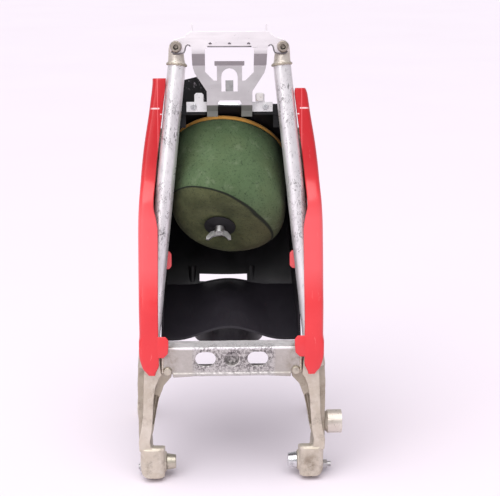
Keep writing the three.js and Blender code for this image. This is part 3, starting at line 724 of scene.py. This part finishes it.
# ---- side panels ----
def panel_skin(u):
    """The outer face of the panel at one height, from the lip at the rail round to the rear edge."""
    inner, outer = curve_at(PANEL_INNER, u), curve_at(PANEL_OUTER, u)
    front = curve_at(PANEL_FRONT, u)
    depth = curve_at(PANEL_BACK, u) - front
    reach = min(9.0, 0.45 * depth)
    skin = [(inner, front + 3.0), (inner + 0.3, front + 1.1), (inner + 1.3, front + 0.1)]
    flat_end = outer - 7
    skin += [(inner + 1.3 + (flat_end - inner - 1.3) * k / 3, front - 0.5 * math.sin(math.pi * k / 3))
             for k in (1, 2, 3)]
    skin += [(flat_end + 7 * math.sin(a), front + reach * (1 - math.cos(a)))
             for a in (math.radians(15 * k) for k in range(1, 7))]
    start = front + reach
    skin += [(outer + 0.8 * math.sin(math.pi * k / 8), start + (front + depth - start) * k / 8)
             for k in range(1, 9)]
    return skin


def panel_loop(u):
    """The panel's whole section at one height: its skin, then its lining back again."""
    skin = [Vector(p) for p in panel_skin(u)]
    lining = []
    for k, point in enumerate(skin):
        run = (skin[min(k + 1, len(skin) - 1)] - skin[max(k - 1, 0)]).normalized()
        lining.append(point + Vector((-run.y, run.x)) * PANEL_T)
    return skin + lining[::-1]


def side_panel(side):
    """One panel, lofted through its sections, with the right one's top corner pinched in."""
    sign = -1 if side == "left" else 1
    top = PANEL_TOP[side]
    stations = [PANEL_LOW + (top - PANEL_LOW) * k / PANEL_STATIONS for k in range(PANEL_STATIONS + 1)]
    bm = bmesh.new()
    loops = []
    for u in stations:
        round_top = max(0.0, (u - (top - 9)) / 9) if side == "right" else 0.0
        loop = panel_loop(u)
        mid = (loop[0].x + loop[14].x) / 2
        pinch = 1 - 0.22 * round_top ** 2
        loops.append([bm.verts.new(leaned(sign * (mid + (p.x - mid) * (pinch if p.y < 30 else 1)), p.y, u))
                      for p in loop])
    bridge(bm, loops)
    count = len(loops[0])
    half = count // 2
    for end in (loops[0], loops[-1]):
        for k in range(half - 1):
            bm.faces.new((end[k], end[k + 1], end[count - 2 - k], end[count - 1 - k]))
    mesh = modified(mesh_from(bm, "panel"), bevel(0.5, 2, 55))
    node = f"{side}_side_panel"
    piece(f"{node}_finished", mesh, "red", replaces=(node,), sharp_deg=34)
    panel_tabs(side, sign)


def panel_tabs(side, sign):
    """The ear over the cross-member's end and the tongue beside the rail."""
    def at(x, off, u):
        return leaned(sign * x, off, u)

    mesh = modified(prism("ear", PANEL_EAR, PANEL_EAR_OFF, at), bevel(0.9, 3))
    piece(f"{side}_panel_ear", mesh, "red")
    mesh = modified(prism("tongue", PANEL_TONGUE, PANEL_TONGUE_OFF, at), bevel(1.6, 3))
    piece(f"{side}_panel_tongue", mesh, "red")


# ---- filter ----
def foam_profile():
    """The foam's section as (radius, height): its side, shoulder, dished end and hollow."""
    end, r = FILTER_LENGTH, FILTER_R
    side = [(r - 0.6, FOAM_START), (r - 0.2, 16), (r - 0.2, 32), (r - 0.5, 60), (r - 1.1, 80), (r - 3, 106)]
    shoulder = [(r - 3.8, 112), (r - 5.4, 118), (r - 8, 123.5), (r - 11.6, 128.6), (r - 16, 132.6),
                (r - 21, 135.6), (r - 27, 137.6), (r - 33, end - 0.5)]
    face = [(r - 33 - (r - 38) * k / 9, end - 0.5 - 0.8 * math.sin(math.pi * k / 9)) for k in range(1, 10)]
    hollow = [(4.6, end - 1), (4.6, end - FOAM), (20, end - FOAM), (60, end - FOAM),
              (FOAM_INNER_R, FOAM_START + 0.3), (r - 6, FOAM_START)]
    return side + shoulder + face + hollow


def foam_skin(r, h):
    """Whether a point of the section is on the outside."""
    return r > FOAM_INNER_R + 0.5 or h > FILTER_LENGTH - FOAM + 0.5


def foam_wobble(r, h, angle):
    """Swells the outside a little, with pleats where the foam is stretched over its rim."""
    if not foam_skin(r, h) or h <= FOAM_START:
        return r, h
    spot = Vector((math.cos(angle) * 1.6, math.sin(angle) * 1.6, h / 60))
    swell = noise.noise(spot) * 1.4 + noise.noise(spot * 4) * 0.5
    if h < 126:
        pleat = 1.1 * math.exp(-(h - 12) / 22)
        return r + swell * 0.8 - 0.9 + pleat * (math.cos(11 * angle + 1.5 * math.sin(3 * angle)) - 0.7), h
    return r - 0.6 + swell * 0.4, h - (0.6 - noise.noise(spot * 2.2) * 0.6 if r > 24 else 0)


def leaned_foam(mesh):
    """Leans the foam's outside to the right towards its closed end, as in the CAD."""
    across = Vector((1, 0, 0)) - FILTER_AXIS * FILTER_AXIS.x
    for vertex in mesh.vertices:
        run = (vertex.co - place(*FILTER_BASE)) / MM
        h = run.dot(FILTER_AXIS)
        r = (run - FILTER_AXIS * h).length
        if foam_skin(r + 2, h):
            vertex.co += across * FOAM_SHIFT * (h - FOAM_START) * min(1, max(0, (r - 10) / 50)) * MM


def air_filter():
    """The foam and its sealing rim, both soft."""
    profile = foam_profile()
    fine = []
    for a, b in zip(profile, profile[1:] + profile[:1]):
        count = max(1, int(math.hypot(b[0] - a[0], b[1] - a[1]) / 3.2))
        fine += [(a[0] + (b[0] - a[0]) * k / count, a[1] + (b[1] - a[1]) * k / count) for k in range(count)]
    mesh = lathe_mesh("foam", fine, 160, FILTER_MATRIX, foam_wobble)
    leaned_foam(mesh)
    foam = piece("filter_foam_finished", mesh, "foam", replaces=("filter_foam",),
                 sharp_deg=180)
    rim_profile = [(72.6, 3.6), (79, 3.4), (85.5, 3.8), (87.1, 5.4), (87.3, 8), (86.6, 10.6), (85, 11.8),
                   (76, 11.9), (72.6, 11.4)]
    mesh = lathe_mesh("rim", rim_profile, 128, FILTER_MATRIX,
                      lambda r, h, a: (r - 0.3 + 0.3 * math.sin(9 * a + h), h))
    mesh = modified(mesh, ("SUBSURF", {"levels": 1}))
    rim = piece("filter_rim_finished", mesh, "rim", replaces=("filter_rim",),
                sharp_deg=180)


# ---- bracket edges and welds ----
def trim(name, points, radius_mm):
    """A thin rounded edge along points of (x, off, u) in the leaned frame."""
    mesh = swept(name, [leaned(*p) for p in points], lambda i: radius_mm, 8)
    return piece(name, mesh, "edge", sharp_deg=180)


def bracket_details():
    """The curled edges under the ears and the window's rolled edge, drawn as thin dark trims of painted
    shade, and three small bumps.
    """
    # painted shade: dark trims stand for the edge shadows along the ear curls and the window's edge
    for side, sign in (("left", -1), ("right", 1)):
        trim(f"{side}_bracket_curl", [(sign * x, SHEET_FACE_OFF, u) for x, u in EAR_CURL], 0.95)
    trim("bracket_window_edge", [(x, SHEET_FACE_OFF, WINDOW_EDGE_U) for x in WINDOW_EDGE_X], 0.9)
    for k, x in enumerate(DIMPLE_X):
        ends = [(x + reach, SHEET_FACE_OFF + 0.5, DIMPLE_U) for reach in (-1.6, 1.6)]
        trim(f"bracket_dimple_{k}", [ends[0], (x, SHEET_FACE_OFF, DIMPLE_U + 1), ends[1]], 1.2)


def frame_welds():
    """The beads that join the cross-member's ends to the legs, in front and on top."""
    for side, sign in (("left", -1), ("right", 1)):
        x = sign * CROSS_WELD_X
        front = [place(x, -14.6, CROSS_WELD_BOTTOM_Z + 0.75 * k) for k in range(48)]
        top = [place(x, -13 + 0.8 * k, CROSS_WELD_TOP_Z) for k in range(34)]
        weld(f"{side}_cross_weld_front", front, 1.9)
        weld(f"{side}_cross_weld_top", top, 1.7)


# ---- everything that keeps its CAD shape and gets real edges ----
def finished_nodes():
    """Every node that isn't built afresh above."""
    for side in ("left", "right"):
        forged(f"{side}_leg_casting", "cast", 1.0, 4)
        forged(f"{side}_tail_boss", "pale", 0.7, 4)
        forged(f"{side}_strut_eye", "cast", 0.7, 4)
        edged(f"{side}_lower_strut", "cast", 1.6, segments=3)
        edged(f"{side}_mount_collar", "bright" if side == "right" else "cast_steel", 0.8)
        edged(f"{side}_tail_bolt", f"{side}_socket", 0.9, segments=3)
        edged(f"{side}_foot_pad_bolt", "dark_steel", 0.7)
        edged(f"{side}_foot_side_bolt", "steel", 0.5)
        edged(f"{side}_cross_bolt", "cast_steel", 1.1, segments=3)
        edged(f"{side}_clip_plate", "clip", 0.35)
        edged(f"{side}_clip_screw", "bright", 0.3)
    forged("cross_member", "cross", 1.0, 5)
    edged("exhaust_mount_boss", "pale", 1.3, segments=3)
    edged("tail_bracket", "sheet", 0.35, sharp_deg=30)
    bracket_details()
    edged("seat_catch", "steel", 0.4)
    edged("clip_nut", "stained", 0.5)
    edged("airbox_body", "black", 0.9)
    edged("floor_collar", "black", 0.8)
    edged("splash_flap", "flap", 0.4)
    edged("intake_boot", "rubber", 0.8)
    edged("boot_clamp", "bright", 0.3)
    edged("filter_cage", "black", 0.4)
    edged("filter_spider", "steel", 0.5)
    edged("retainer_washer", "rubber", 0.5, body="retainer")
    edged("wing_bolt", "steel", 0.8, body="wing_bolt", segments=3)


# ---- stage, light and camera ----
def stage():
    """The floor and the even sky."""
    bpy.ops.mesh.primitive_plane_add(size=FLOOR_SIZE_M)
    floor = bpy.context.object
    floor.name = "floor"
    floor.data.materials.append(LOOKS["floor"])
    world = bpy.data.worlds.new("studio")
    bpy.context.scene.world = world
    world.use_nodes = True
    world.node_tree.nodes["Background"].inputs["Color"].default_value = SKY_COLOUR
    world.node_tree.nodes["Background"].inputs["Strength"].default_value = SKY_STRENGTH


def shining(name, light, towards):
    """Puts a light in the scene, turned to shine along a direction."""
    made = bpy.data.objects.new(name, light)
    made.rotation_euler = Vector(towards).to_track_quat("-Z", "Y").to_euler()
    bpy.context.scene.collection.objects.link(made)
    return made


def lights():
    """A wide sun overhead and a soft fill from the front left."""
    sun = bpy.data.lights.new("overhead", "SUN")
    sun.energy = SUN_STRENGTH
    sun.angle = math.radians(SUN_SOFT_DEG)
    shining("overhead", sun, SUN_TOWARDS)
    fill = bpy.data.lights.new("front_fill", "AREA")
    fill.shape = "RECTANGLE"
    fill.size, fill.size_y = FILL_SIZE
    fill.energy = FILL_WATTS
    shining("front_fill", fill, Vector(FILL_AIM) - Vector(FILL_AT)).location = FILL_AT


def camera():
    """The view from the front, a little above."""
    aim = place(*VIEW_AIM)
    azimuth, elevation = math.radians(VIEW_AZIMUTH), math.radians(VIEW_ELEVATION)
    back = Vector((math.sin(azimuth) * math.cos(elevation), -math.cos(azimuth) * math.cos(elevation),
                   math.sin(elevation)))
    data = bpy.data.cameras.new("view")
    data.sensor_width = VIEW_SENSOR
    data.lens = VIEW_LENS
    made = bpy.data.objects.new("view", data)
    made.location = aim + back * VIEW_DISTANCE_M
    made.rotation_euler = (-back).to_track_quat("-Z", "Y").to_euler()
    bpy.context.scene.collection.objects.link(made)
    bpy.context.scene.camera = made


camera()
stage()
lights()
for side_name in ("left", "right"):
    upper_rail(side_name)
    side_panel(side_name)
air_filter()
finished_nodes()
frame_welds()
bpy.context.scene.view_settings.view_transform = "Standard"
